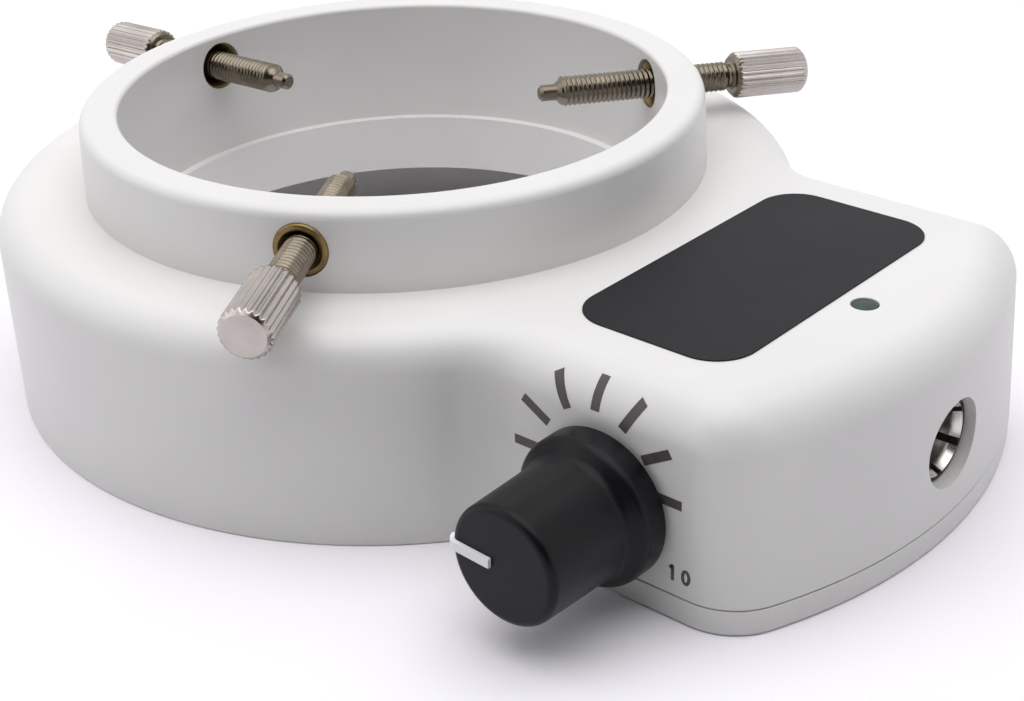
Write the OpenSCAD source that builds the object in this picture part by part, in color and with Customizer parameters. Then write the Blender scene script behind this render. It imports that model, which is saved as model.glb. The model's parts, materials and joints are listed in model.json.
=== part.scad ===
// Ring illuminator for a stereo microscope: a moulded ring with a control box at one side,
// three thumb screws that clamp it on an objective, a brightness knob and a power inlet.
// The ring's axis is Z, its underside is at z = 0, and the control box points along +X.

/* [Ring] */
// Diameter of the mounting bore
bore_d = 62; // [58:0.5:70]
// Wall of the collar round the bore
collar_wall = 4.4; // [3:0.1:6]
// Height of the collar above the deck
collar_h = 8.6; // [8:0.1:14]
// Rounding of the collar's rim
rim_round = 0.8; // [0.3:0.1:1.2]
// Radial width of the ring, from the bore to the outside
ring_w = 14.75; // [14.5:0.05:18]
// Height of the deck above the underside
deck_z = 23.2; // [22:0.1:30]
// Rounding of the deck's outer edge
shoulder_r = 4.2; // [2:0.1:4.6]
// Wall of the mouldings
wall = 2.2; // [1.6:0.1:2.5]
// Depth of the ledge in the bore below the deck
ledge_drop = 6.4; // [5:0.1:7]

/* [Lamp plate] */
// How far the lower tube stands in from the bore
tube_step = 1.05; // [0.5:0.05:1.5]
// Wall of the lower tube
tube_wall = 2; // [1.7:0.1:2.3]
// Length of the lower tube, down from the ledge
tube_h = 7.1; // [6:0.1:9]
// Thickness of the lamp plate
plate_t = 1.6; // [1.2:0.1:2]
// Diameter of a lamp
led_d = 3; // [2.5:0.1:3.1]
// How far the lamps stand out under the plate
led_proud = 1; // [0.5:0.1:1.4]
// Spacing of the lamps along a row
led_pitch = 4.8; // [4.5:0.1:6]
// Gap between the lamp plate and the lamp board
board_stand = 2; // [1.5:0.1:2.3]

/* [Control box] */
// Width of the control box
box_w = 53.4; // [50:0.1:60]
// Length of the control box beyond the ring
box_len = 26.95; // [26:0.05:34]
// Radius of the bowed end face
end_arc_r = 55.2; // [50:0.2:90]
// Radius of the box's upright corners
corner_r = 7; // [6:0.1:9]
// Radius of the blend between the ring and the box
blend_r = 9; // [4:0.5:14]
// Height of the base cover
cover_h = 2.8; // [2.4:0.1:3.2]
// Open seam between the base cover and the housing
seam = 0.2; // [0.1:0.05:0.4]
// Thickness of the circuit boards
board_t = 1.6; // [1:0.1:2]

/* [Label and indicator] */
// Size of the label plate along X
label_x = 19.1; // [12:0.1:19.6]
// Size of the label plate along Y
label_y = 38.1; // [24:0.1:42]
// Corner radius of the label plate
label_r = 4.4; // [1:0.1:6]
// Thickness of the label plate
label_t = 0.15; // [0.1:0.05:0.4]
// Distance from the label plate's middle to the box's end
label_in = 22.4; // [21.5:0.1:24]
// Diameter of the indicator lamp
indicator_d = 2.8; // [2:0.1:4]
// Distance from the indicator lamp to the box's end
indicator_in = 10.2; // [9:0.1:11]

/* [Knob] */
// Distance from the knob's axis to the box's end
knob_in = 21; // [20.5:0.1:22]
// Height of the knob's axis
knob_z = 10.3; // [10:0.1:12]
// Length of the knob
knob_l = 13.9; // [12:0.1:20]
// Diameter of the knob's skirt
skirt_d = 15.4; // [14:0.1:18]
// Height of the knob's skirt
skirt_h = 3.4; // [3:0.1:5]
// Diameter of the knob's grip at the skirt
grip_d = 12.6; // [11:0.1:13]
// Diameter of the knob's grip at its face
face_d = 12.1; // [9:0.1:12.4]
// Gap between the knob's skirt and the box
knob_gap = 0.6; // [0.4:0.1:1.2]
// Diameter of the control's shaft
shaft_d = 6; // [5:0.1:6.4]
// Width of the white pointer bar
pointer_w = 1; // [0.6:0.1:1.4]
// Length of the white pointer bar
pointer_l = 4.8; // [2:0.1:5]
// Direction that the pointer shows at rest, counted from +X up to +Z
pointer_a = 177; // [0:1:220]

/* [Power inlet] */
// Diameter of the hole in the box's end
inlet_hole_d = 9.3; // [8.8:0.1:9.8]
// Outer diameter of the contact sleeve
sleeve_d = 8; // [7.6:0.1:8.2]
// Inner diameter of the contact sleeve
sleeve_bore_d = 6.8; // [5.8:0.1:7]
// Diameter of the centre pin
pin_d = 2; // [1.6:0.1:2.6]
// Depth of the socket behind the box's end wall
socket_l = 9.4; // [8:0.1:11]
// How far the contact sleeve stands out into the hole
sleeve_out = 1.3; // [0.5:0.1:1.6]
// Sideways place of the inlet
inlet_y = 1; // [-2:0.1:2]
// Height of the inlet
inlet_z = 10.9; // [10.6:0.1:12]

/* [Thumb screws] */
// Height of the screws above the deck
screw_up = 4.6; // [4.2:0.1:5]
// How far the screws lean, with their heads low
screw_lean = 2.8; // [0:0.1:3]
// Direction of the first screw, counted from +X
screw_phase = -61; // [-75:1:-45]
// How far the front screw's tip stands into the bore at rest
front_reach = 12.2; // [2:0.1:16]
// How far the right screw's tip stands into the bore at rest
right_reach = 13.6; // [2:0.1:16]
// How far the left screw's tip stands into the bore at rest
left_reach = 12.9; // [2:0.1:16]
// Diameter of the screw thread
thread_d = 3.5; // [3:0.1:4.2]
// Length of the screw thread
thread_l = 20.5; // [18:0.5:22]
// Diameter of the plain neck under the head
neck_d = 2.8; // [2.4:0.1:3]
// Length of the plain neck
neck_l = 1.1; // [0.8:0.1:3]
// Diameter of the knurled head
head_d = 5.5; // [4.8:0.1:6]
// Length of the knurled head
head_l = 9.2; // [6:0.1:12]
// Diameter of the dog point
dog_d = 1.9; // [1.2:0.1:2.4]
// Length of the dog point
dog_l = 2; // [1:0.1:3]
// Diameter of the brass insert
insert_d = 5.8; // [5:0.1:6]

/* [Hidden] */
$fn = 96;

// Clearances and allowances
run_fit = 0.05;
part_fit = 0.15;
bite = 0.5;
over = 1;
// How far round corners and blends pass through the faces that they run into
cross = 0.02;

// Ring
bore_r = bore_d / 2;
collar_r = bore_r + collar_wall;
ring_r = bore_r + ring_w;
rim_z = deck_z + collar_h;
roof_z = deck_z - wall;
ledge_z = deck_z - ledge_drop;
chamber_r = ring_r - wall;
neck_wall_r = bore_r + wall;

// Lamp plate and lamp rows
tube_r = bore_r - tube_step;
tube_out_r = tube_r + tube_wall;
plate_z = ledge_z - tube_h;
plate_r = chamber_r - part_fit;
lamp_board_z = plate_z + plate_t + board_stand;
led_rim = 0.2;
led_rim_h = 1;
led_r = led_d / 2;
led_margin = 0.35;
row_in_r = tube_out_r + led_margin + led_r + led_rim;
row_out_r = plate_r - led_margin - led_r - led_rim - led_margin;
row_r = [row_in_r, (row_in_r + row_out_r) / 2, row_out_r];
plate_screw_count = 3;
plate_screw_turn = 60;
// Start of each row in degrees and in lamp places: the middle row stands clear of the plate screws
row_turn = [0, 0, plate_screw_turn];
row_shift = [0, 0.5, 0];
outer_places = 3 * round(2 * PI * row_out_r / led_pitch / 3) + plate_screw_count;

// Control box
box_half = box_w / 2;
box_end = ring_r + box_len;
end_arc_x = box_end - end_arc_r;
corner_y = box_half - corner_r;
corner_x = end_arc_x + sqrt(pow(end_arc_r - corner_r, 2) - pow(corner_y, 2));
corner_a = atan2(corner_y, corner_x - end_arc_x);
blend_y = box_half + blend_r;
blend_x = sqrt(pow(ring_r + blend_r, 2) - pow(blend_y, 2));
blend_a = atan2(blend_y, blend_x);
blend_depth = 6;
housing_low_z = cover_h + seam;
box_inside = box_half - wall;
end_inside = box_end - wall;

// Self-tapping screws and their bosses
tap_d = 2.2;
tap_head_d = 4.2;
tap_head_h = 1.3;
tap_l = 7;
boss_d = 5;
boss_r = boss_d / 2;
boss_gap = 0.4;
sink_h = 1.6;
cover_boss = [
    for (side = [-1, 1]) [corner_x, side * corner_y],
    for (side = [-1, 1]) [
        sqrt(pow(ring_r + boss_r + boss_gap, 2) - pow(box_inside - boss_r + bite, 2)),
        side * (box_inside - boss_r + bite)
    ]
];

// Power inlet, with its face just behind the bowed end wall
inlet_w = 9.6;
inlet_side = abs(inlet_y) + inlet_w / 2;
inlet_face_x = end_arc_x + sqrt(pow(end_arc_r - wall, 2) - pow(inlet_side, 2)) - part_fit;
inlet_back = 3.4;
inlet_up = 5.8;
sleeve_l = socket_l + sleeve_out;
slot_w = 0.9;
slot_l = 3;
slot_count = 6;
pin_short = 1.4;

// Control board, from the ring's wall to the bowed end wall, and its posts
board_gap = 0.4;
board_z = cover_h + board_gap;
board_top = board_z + board_t;
board_from_ring = 2.35;
board_half = 15.4;
board_x = ring_r + board_from_ring;
board_end = end_arc_x + sqrt(pow(end_arc_r - wall, 2) - pow(board_half, 2)) - part_fit;
post_d = 4.4;
post_in = 2.9;
board_post = [[board_x + post_in, board_half - post_in], [board_end - post_in, post_in - board_half]];

// What the control board carries: sizes, then distances from the board's edges and the inlet
chip_size = [5, 4, 1.6];
chip_in = [2, 2];
inductor_size = [6, 6, 3.6];
inductor_in = [2.1, 4.9];
capacitor_d = 6.3;
capacitor_h = 7.2;
capacitor_in = 8.6;
capacitor_y = (inlet_y + inlet_w / 2 + board_half) / 2;

// Brightness control and knob
knob_x = box_end - knob_in;
knob_y = -box_half - knob_gap;
pot_w = 9;
pot_depth = 6.8;
pot_up = 5.6;
bush_wall = 0.4;
bush_d = shaft_d + 2 * run_fit + 2 * bush_wall;
bush_past = 0.3;
washer_t = 0.5;
washer_rim = 0.4;
nut_t = 2;
nut_wall = 1.35;
nut_af = bush_d + 2 * nut_wall;
nut_gap = 0.5;
bush_l = wall + washer_t + nut_t + bush_past;
skirt_wall = 1.1;
recess_r = skirt_d / 2 - skirt_wall;
recess_l = bush_l - wall - knob_gap + nut_gap;
shaft_flat = shaft_d / 4;
shaft_in = 2.5;
shaft_cap = 2.4;
shaft_out = wall + knob_gap + knob_l - shaft_cap;

// Indicator
indicator_x = box_end - indicator_in;
indicator_low = 0.2;
indicator_flange = 0.4;
indicator_board_z = inlet_z + inlet_up + part_fit;
indicator_board_t = 1;
indicator_board_x = 8;
indicator_board_y = 6;
hang_d = 1.8;
hang_in = 2.9;

// Label
label_mid = box_end - label_in;

// Wires from the control board to the lamp board
wire_d = 1.2;
wire_bend = 2;
wire_y = 1.6;
wire_down = 2.6;
wire_in = 4;
wire_from_edge = 0.85;
wire_z = roof_z - wire_down;
wire_x = [chamber_r - wire_in, board_x + wire_from_edge];
notch_y = 6;
notch_up = 0.6;
notch_low = lamp_board_z + board_t + notch_up;

// Thumb screws
screw_z = deck_z + screw_up;
tip_cone = 0.8;
dog_bevel = 0.3;
head_bevel = 0.6;
knurls = 20;
knurl_deep = 0.3;
head_at = dog_l + tip_cone + thread_l + neck_l;
insert_in = 0.3;
insert_out = 0.25;
insert_mid = bore_r + collar_wall / 2;

// Area that rounds off a corner at the origin, with the material towards -x and -y
module corner_cut(r) {
    difference() {
        translate([-r, -r]) square(2 * r);
        translate([-r, -r + cross]) circle(r);
    }
}

// Half section of a round form with its upper edge rounded
module edge_section(r, low, top, round_r) {
    difference() {
        translate([0, low]) square([r, top - low]);
        if (round_r > 0) translate([r, top]) corner_cut(round_r);
    }
}

// Cross section of the box, with both upper edges rounded
module box_section(half, low, top, round_r) {
    difference() {
        translate([-half, low]) square([2 * half, top - low]);
        if (round_r > 0)
            for (side = [0, 1]) mirror([side, 0]) translate([half, top]) corner_cut(round_r);
    }
}

// Control box with straight sides, round corners and a bowed end, drawn in by inset
module box_form(inset, low, top, round_r) {
    from_x = bore_r;
    rotate([90, 0, 90]) translate([0, 0, from_x]) linear_extrude(corner_x - from_x)
        box_section(box_half - inset, low, top, round_r);
    translate([end_arc_x, 0, 0]) rotate_extrude(start = -corner_a, angle = 2 * corner_a)
        edge_section(end_arc_r - inset, low, top, round_r);
    for (side = [-1, 1]) translate([corner_x, side * corner_y, 0])
        rotate_extrude() edge_section(corner_r - inset + cross, low, top, round_r);
}

// Hollow upright blends between the ring and the box's sides
module blend_form(low, top, round_r) {
    for (side = [0, 1]) mirror([0, side, 0]) translate([blend_x, blend_y, 0])
        rotate_extrude(start = 180 + blend_a, angle = 90 - blend_a)
            translate([blend_r + cross, 0]) difference() {
                translate([0, low]) square([blend_depth, top - low]);
                if (round_r > 0) mirror([1, 0]) translate([0, top]) corner_cut(round_r);
            }
}

// Ring and collar, full to the axis
module ring_form() {
    rotate_extrude() {
        edge_section(ring_r, 0, deck_z, shoulder_r);
        edge_section(collar_r, 0, rim_z, rim_round);
    }
}

// Bore, lamp chamber and the space behind the bore's wall
module ring_hollow() {
    rotate_extrude() {
        translate([0, -over]) square([bore_r, rim_z + 2 * over]);
        translate([0, -over]) square([chamber_r, ledge_z + over]);
        translate([neck_wall_r, 0]) square([chamber_r - neck_wall_r, roof_z]);
        translate([bore_r, rim_z]) mirror([1, 0]) corner_cut(rim_round);
    }
}

// Places a screw, its insert or its hole: local +Z points out from the ring's axis and a little down
module at_screw(turn) {
    rotate([0, 0, screw_phase + turn]) translate([insert_mid, 0, screw_z])
        rotate([0, 90 + screw_lean, 0]) translate([0, 0, -insert_mid]) children();
}

// Places a plate screw or its boss in the outer lamp row
module at_plate_screws() {
    for (i = [0 : plate_screw_count - 1])
        rotate([0, 0, plate_screw_turn + i * 360 / plate_screw_count])
            translate([row_out_r, 0, 0]) children();
}

// Places what turns with the knob: local +Z points out of the box's side
module at_knob(y) {
    translate([knob_x, y, knob_z]) rotate([90, 0, 0]) children();
}

// Self-tapping screw with its head down and its seat at z = 0
module tapping_screw(length) {
    translate([0, 0, -tap_head_h]) cylinder(d = tap_head_d, h = tap_head_h);
    cylinder(d = tap_d, h = length);
}

module upper_housing() {
    color("whitesmoke") difference() {
        union() {
            difference() {
                union() {
                    ring_form();
                    box_form(0, 0, deck_z, shoulder_r);
                    blend_form(0, deck_z, shoulder_r);
                }
                ring_hollow();
                difference() {
                    box_form(wall, -over, roof_z, shoulder_r - wall);
                    translate([0, 0, -2 * over]) cylinder(r = ring_r, h = deck_z + 2 * over);
                }
                difference() {
                    translate([0, -ring_r - over, -over])
                        cube([box_end + over, 2 * (ring_r + over), housing_low_z + over]);
                    translate([0, 0, -2 * over]) cylinder(r = ring_r, h = deck_z);
                }
            }
            for (p = cover_boss) translate([p[0], p[1], cover_h])
                cylinder(d = boss_d, h = roof_z - cover_h + bite);
            for (p = board_post) translate([p[0], p[1], board_top])
                cylinder(d = post_d, h = roof_z - board_top + bite);
            for (side = [-1, 1])
                translate([indicator_x + side * hang_in, 0, indicator_board_z + indicator_board_t])
                    cylinder(d = hang_d, h = roof_z - indicator_board_z - indicator_board_t + bite);
            at_plate_screws() translate([0, 0, lamp_board_z + board_t])
                cylinder(d = post_d, h = roof_z - lamp_board_z - board_t + bite);
        }
        for (turn = [0, 120, 240]) at_screw(turn)
            translate([0, 0, bore_r - over]) cylinder(d = insert_d, h = collar_wall + 2 * over);
        at_knob(-box_inside + over) cylinder(d = bush_d + 2 * run_fit, h = wall + 2 * over);
        translate([end_inside - 2 * over, inlet_y, inlet_z]) rotate([0, 90, 0])
            cylinder(d = inlet_hole_d, h = wall + 3 * over);
        translate([indicator_x, 0, roof_z - over]) cylinder(d = indicator_d, h = wall + 2 * over);
        translate([chamber_r - over, -notch_y / 2, notch_low])
            cube([wall + 2 * over, notch_y, roof_z - notch_low]);
        for (p = cover_boss) translate([p[0], p[1], cover_h - over])
            cylinder(d = tap_d, h = tap_l + over);
        for (p = board_post) translate([p[0], p[1], board_top - over])
            cylinder(d = tap_d, h = tap_l + over);
        at_plate_screws() translate([0, 0, lamp_board_z]) cylinder(d = tap_d, h = tap_l);
    }
}

module base_cover() {
    color("white") difference() {
        union() {
            box_form(0, 0, cover_h, 0);
            blend_form(0, cover_h, 0);
        }
        translate([0, 0, -over]) cylinder(r = ring_r + part_fit, h = cover_h + 2 * over);
        for (p = cover_boss) translate([p[0], p[1], -over]) {
            cylinder(d = tap_head_d + 2 * part_fit, h = sink_h + over);
            cylinder(d = tap_d + 2 * part_fit, h = cover_h + 2 * over);
        }
    }
}

module cover_screws() {
    color("dimgray") for (p = cover_boss) translate([p[0], p[1], sink_h])
        tapping_screw(cover_h - sink_h + tap_l - bite);
}

// Rows of lamp places: how many there are, and which of them hold a lamp
function lamp_count(row) = row == 2 ? outer_places : 6 * round(2 * PI * row_r[row] / led_pitch / 6);
function lamp_turn(row, i) = row_turn[row] + (i + row_shift[row]) * 360 / lamp_count(row);
function is_lamp(row, i) = row < 2 || i % (outer_places / plate_screw_count) != 0;

module at_lamps(row) {
    for (i = [0 : lamp_count(row) - 1]) if (is_lamp(row, i))
        rotate([0, 0, lamp_turn(row, i)]) translate([row_r[row], 0, 0]) children();
}

module lamp_plate() {
    color("white") difference() {
        union() {
            rotate_extrude() {
                translate([tube_r, plate_z]) square([tube_wall, tube_h]);
                translate([tube_r, plate_z]) square([plate_r - tube_r, plate_t]);
            }
            at_plate_screws() translate([0, 0, plate_z + plate_t - bite])
                cylinder(d = post_d, h = board_stand + bite);
        }
        for (row = [0 : 2]) at_lamps(row) translate([0, 0, plate_z - over])
            cylinder(d = led_d + 2 * part_fit, h = plate_t + 2 * over);
        at_plate_screws() translate([0, 0, plate_z - over])
            cylinder(d = tap_d + 2 * part_fit, h = plate_t + board_stand + 2 * over);
    }
}

module plate_screws() {
    color("dimgray") at_plate_screws() translate([0, 0, plate_z])
        tapping_screw(lamp_board_z + tap_l - plate_z - bite);
}

module lamp_board() {
    color("seagreen") difference() {
        translate([0, 0, lamp_board_z]) cylinder(r = plate_r - part_fit, h = board_t);
        translate([0, 0, lamp_board_z - over])
            cylinder(r = tube_out_r + part_fit, h = board_t + 2 * over);
        at_plate_screws() translate([0, 0, lamp_board_z - over])
            cylinder(d = tap_d + 2 * part_fit, h = board_t + 2 * over);
    }
}

// One lamp: a domed lens with a rim, hanging from the lamp board
module lamp() {
    dome_z = plate_z - led_proud + led_r;
    rotate_extrude() {
        translate([0, dome_z]) square([led_r, lamp_board_z - dome_z]);
        translate([0, lamp_board_z - led_rim_h]) square([led_r + led_rim, led_rim_h]);
        translate([0, dome_z]) intersection() {
            circle(led_r);
            translate([0, -led_r]) square([led_r, led_r]);
        }
    }
}

module lamps_inner() {
    color("lightyellow") at_lamps(0) lamp();
}

module lamps_middle() {
    color("lightyellow") at_lamps(1) lamp();
}

module lamps_outer() {
    color("lightyellow") at_lamps(2) lamp();
}

module thread_inserts() {
    color("goldenrod") for (turn = [0, 120, 240]) at_screw(turn) difference() {
        translate([0, 0, bore_r + insert_in])
            cylinder(d = insert_d, h = collar_wall - insert_in + insert_out);
        translate([0, 0, bore_r - over]) cylinder(d = thread_d + 2 * run_fit, h = collar_wall + 2 * over);
    }
}

// Straight knurls round the head, cut back to a bevel at both ends
module knurled_head() {
    tooth = 360 / knurls;
    intersection() {
        linear_extrude(head_l) polygon([
            for (i = [0 : 2 * knurls - 1])
                let (r = head_d / 2 - (i % 2) * knurl_deep)
                    [r * cos(i * tooth / 2), r * sin(i * tooth / 2)]
        ]);
        rotate_extrude() polygon([
            [0, 0],
            [head_d / 2 - head_bevel, 0],
            [head_d / 2 + over, head_bevel + over],
            [head_d / 2 + over, head_l - head_bevel - over],
            [head_d / 2 - head_bevel, head_l],
            [0, head_l]
        ]);
    }
}

// Thumb screw with its tip at z = 0 and its head at the far end
module thumb_screw(turn, reach) {
    color("silver") at_screw(turn) translate([0, 0, bore_r - reach]) {
        rotate_extrude() polygon([
            [0, 0],
            [dog_d / 2 - dog_bevel, 0],
            [dog_d / 2, dog_bevel],
            [dog_d / 2, dog_l],
            [thread_d / 2, dog_l + tip_cone],
            [thread_d / 2, dog_l + tip_cone + thread_l],
            [neck_d / 2, dog_l + tip_cone + thread_l + (thread_d - neck_d) / 2],
            [neck_d / 2, head_at + bite],
            [0, head_at + bite]
        ]);
        translate([0, 0, head_at]) knurled_head();
    }
}

module thumb_screw_front() {
    thumb_screw(0, front_reach);
}

module thumb_screw_right() {
    thumb_screw(120, right_reach);
}

module thumb_screw_left() {
    thumb_screw(240, left_reach);
}

module control_board() {
    color("seagreen") difference() {
        translate([0, 0, board_z]) linear_extrude(board_t) {
            translate([board_x, -board_half]) square([board_end - board_x, 2 * board_half]);
            translate([knob_x - pot_w / 2, -box_inside + part_fit])
                square([pot_w, box_inside - board_half]);
        }
        for (p = board_post) translate([p[0], p[1], board_z - over])
            cylinder(d = tap_d + 2 * part_fit, h = board_t + 2 * over);
        translate([0, 0, board_z - over]) cylinder(r = ring_r + part_fit, h = board_t + 2 * over);
    }
}

module board_screws() {
    color("dimgray") for (p = board_post) translate([p[0], p[1], board_z])
        cylinder(d = tap_d, h = board_t + tap_l - bite);
}

module driver_chip() {
    color("black") translate([board_end - chip_in[0], board_half - chip_in[1], board_top])
        mirror([1, 0, 0]) mirror([0, 1, 0]) cube(chip_size);
}

module inductor() {
    color("darkslategray") translate([board_x + inductor_in[0], inductor_in[1] - board_half, board_top])
        cube(inductor_size);
}

module capacitor() {
    color("navy") translate([board_x + capacitor_in, capacitor_y, board_top])
        cylinder(d = capacitor_d, h = capacitor_h);
}

// Wire up from the control board, through the wall of the ring and down to the lamp board
module supply_wire(y) {
    lamp_top = lamp_board_z + board_t;
    translate([wire_x[1], y, board_top]) cylinder(d = wire_d, h = wire_z - wire_bend - board_top);
    translate([wire_x[0], y, lamp_top]) cylinder(d = wire_d, h = wire_z - wire_bend - lamp_top);
    translate([wire_x[0] + wire_bend, y, wire_z]) rotate([0, 90, 0])
        cylinder(d = wire_d, h = wire_x[1] - wire_x[0] - 2 * wire_bend);
    translate([wire_x[1] - wire_bend, y, wire_z - wire_bend]) rotate([90, 0, 0])
        rotate_extrude(angle = 90) translate([wire_bend, 0]) circle(d = wire_d);
    translate([wire_x[0] + wire_bend, y, wire_z - wire_bend]) rotate([90, 0, 0])
        rotate([0, 0, 90]) rotate_extrude(angle = 90) translate([wire_bend, 0]) circle(d = wire_d);
}

module supply_wire_red() {
    color("firebrick") supply_wire(wire_y);
}

module supply_wire_black() {
    color("black") supply_wire(-wire_y);
}

// Shaft of the brightness control with its flat, drawn from its inner end
module shaft_form() {
    difference() {
        cylinder(d = shaft_d, h = shaft_in + shaft_out);
        translate([shaft_d / 2 - shaft_flat, -shaft_d, shaft_in + wall + knob_gap + recess_l - nut_gap / 2])
            cube([shaft_d, 2 * shaft_d, knob_l]);
    }
}

module control_body() {
    color("steelblue") difference() {
        translate([knob_x - pot_w / 2, -box_inside, board_top])
            cube([pot_w, pot_depth, knob_z + pot_up - board_top]);
        at_knob(-box_inside + shaft_in + part_fit) cylinder(d = shaft_d + 2 * run_fit, h = shaft_in + over);
    }
}

module control_bushing() {
    color("lightgray") at_knob(-box_inside) difference() {
        cylinder(d = bush_d, h = bush_l);
        translate([0, 0, -over]) cylinder(d = shaft_d + 2 * run_fit, h = bush_l + 2 * over);
    }
}

module control_washer() {
    color("silver") at_knob(-box_half) difference() {
        cylinder(d = nut_af + 2 * washer_rim, h = washer_t);
        translate([0, 0, -over]) cylinder(d = bush_d + 2 * run_fit, h = washer_t + 2 * over);
    }
}

module control_nut() {
    color("silver") at_knob(-box_half - washer_t) difference() {
        cylinder(d = nut_af / cos(30), h = nut_t, $fn = 6);
        translate([0, 0, -over]) cylinder(d = bush_d + 2 * run_fit, h = nut_t + 2 * over);
    }
}

module control_shaft() {
    color("gainsboro") at_knob(-box_inside + shaft_in) rotate([0, 0, pointer_a]) shaft_form();
}

module knob() {
    lip = 0.8;
    shoulder = 1.5;
    color("#1c1c1e") difference() {
        at_knob(knob_y) rotate([0, 0, pointer_a]) difference() {
            rotate_extrude() polygon([
                [0, recess_l],
                [recess_r, recess_l],
                [recess_r, 0],
                [skirt_d / 2, 0],
                [skirt_d / 2, skirt_h - shoulder],
                [skirt_d / 2 - lip, skirt_h - lip / 2],
                [grip_d / 2, skirt_h + lip],
                [face_d / 2, knob_l - lip / 2],
                [face_d / 2 - lip / 2, knob_l],
                [0, knob_l]
            ]);
            pointer_bar(over);
        }
        at_knob(-box_inside + shaft_in) rotate([0, 0, pointer_a]) shaft_form();
    }
}

// Pointer bar let into the knob's face, standing out by proud
module pointer_bar(proud) {
    inlay = 0.5;
    translate([face_d / 2 - pointer_l, -pointer_w / 2, knob_l - inlay])
        cube([pointer_l + over, pointer_w, inlay + proud]);
}

module knob_pointer() {
    stand = 0.4;
    color("white") at_knob(knob_y) rotate([0, 0, pointer_a]) intersection() {
        pointer_bar(stand);
        cylinder(d = face_d + 2 * stand, h = knob_l + over);
    }
}

module at_inlet(x) {
    translate([x, inlet_y, inlet_z]) rotate([0, 90, 0]) children();
}

module inlet_body() {
    color("#202020") difference() {
        translate([inlet_face_x - socket_l - inlet_back, inlet_y - inlet_w / 2, board_top])
            cube([socket_l + inlet_back, inlet_w, inlet_z + inlet_up - board_top]);
        at_inlet(inlet_face_x - socket_l) cylinder(d = sleeve_d, h = socket_l + over);
    }
}

module inlet_sleeve() {
    color("silver") at_inlet(inlet_face_x - socket_l) difference() {
        cylinder(d = sleeve_d, h = sleeve_l);
        translate([0, 0, -over]) cylinder(d = sleeve_bore_d, h = sleeve_l + 2 * over);
        for (i = [0 : slot_count - 1]) rotate([0, 0, (i + 0.5) * 360 / slot_count])
            translate([sleeve_bore_d / 2 - bite, -slot_w / 2, sleeve_l - slot_l])
                cube([sleeve_d / 2, slot_w, slot_l + over]);
    }
}

module inlet_pin() {
    color("silver") at_inlet(inlet_face_x - socket_l) cylinder(d = pin_d, h = socket_l - pin_short);
}

module indicator_lamp() {
    low_z = indicator_board_z + indicator_board_t;
    color("darkgreen") translate([indicator_x, 0, low_z]) {
        cylinder(d = indicator_d - 2 * run_fit, h = deck_z - indicator_low - low_z);
        cylinder(d = indicator_d + 2 * indicator_flange, h = roof_z - low_z - run_fit);
    }
}

module indicator_board() {
    color("seagreen")
        translate([indicator_x - indicator_board_x / 2, -indicator_board_y / 2, indicator_board_z])
            cube([indicator_board_x, indicator_board_y, indicator_board_t]);
}

module label_plate() {
    color("#2b2d31") translate([label_mid, 0, deck_z]) linear_extrude(label_t) {
        square([label_x - 2 * label_r, label_y], center = true);
        square([label_x, label_y - 2 * label_r], center = true);
        for (sx = [-1, 1], sy = [-1, 1])
            translate([sx * (label_x / 2 - label_r), sy * (label_y / 2 - label_r)]) circle(label_r);
    }
}

upper_housing();
base_cover();
cover_screws();
lamp_plate();
plate_screws();
lamp_board();
lamps_inner();
lamps_middle();
lamps_outer();
thread_inserts();
thumb_screw_front();
thumb_screw_right();
thumb_screw_left();
control_board();
board_screws();
driver_chip();
inductor();
capacitor();
supply_wire_red();
supply_wire_black();
control_body();
control_bushing();
control_washer();
control_nut();
control_shaft();
knob();
knob_pointer();
inlet_body();
inlet_sleeve();
inlet_pin();
indicator_lamp();
indicator_board();
label_plate();
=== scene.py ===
import json
import math

import bmesh
import bpy
import numpy as np
from mathutils import Matrix, Vector


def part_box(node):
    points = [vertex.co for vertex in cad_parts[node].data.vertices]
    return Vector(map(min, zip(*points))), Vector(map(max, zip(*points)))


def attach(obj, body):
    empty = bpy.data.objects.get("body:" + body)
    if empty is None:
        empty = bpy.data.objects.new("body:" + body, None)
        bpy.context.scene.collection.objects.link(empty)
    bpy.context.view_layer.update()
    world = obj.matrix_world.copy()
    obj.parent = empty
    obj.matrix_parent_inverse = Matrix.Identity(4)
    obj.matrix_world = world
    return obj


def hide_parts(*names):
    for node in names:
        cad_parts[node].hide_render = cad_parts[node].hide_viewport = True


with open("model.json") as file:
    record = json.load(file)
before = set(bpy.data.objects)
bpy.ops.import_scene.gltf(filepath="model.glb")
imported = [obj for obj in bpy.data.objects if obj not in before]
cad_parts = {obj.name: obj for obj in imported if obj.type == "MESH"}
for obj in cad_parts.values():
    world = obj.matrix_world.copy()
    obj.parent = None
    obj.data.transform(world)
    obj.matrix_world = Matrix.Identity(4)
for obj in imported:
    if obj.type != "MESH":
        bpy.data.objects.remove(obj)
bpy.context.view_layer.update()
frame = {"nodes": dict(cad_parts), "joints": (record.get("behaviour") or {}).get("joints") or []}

nodes = frame["nodes"]
mm = 0.001  # every size below is in millimetres, every mesh in metres
turn = 2 * math.pi
quarter = math.pi / 2
zAxis = (0, 0, 1)
knobAxis = (0, -1, 0)
inletAxis = (1, 0, 0)


def boxOf(node):  # lowest and highest corner of a CAD node, in millimetres
    low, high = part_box(node)
    return np.array(low) / mm, np.array(high) / mm


def topOf(node):  # height of a CAD node's top
    return boxOf(node)[1][2]


def pointsOf(piece):  # all the points of a piece, in millimetres
    vertices = piece.data.vertices
    flat = np.empty(len(vertices) * 3)
    vertices.foreach_get("co", flat)
    return flat.reshape(-1, 3) / mm


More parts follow.
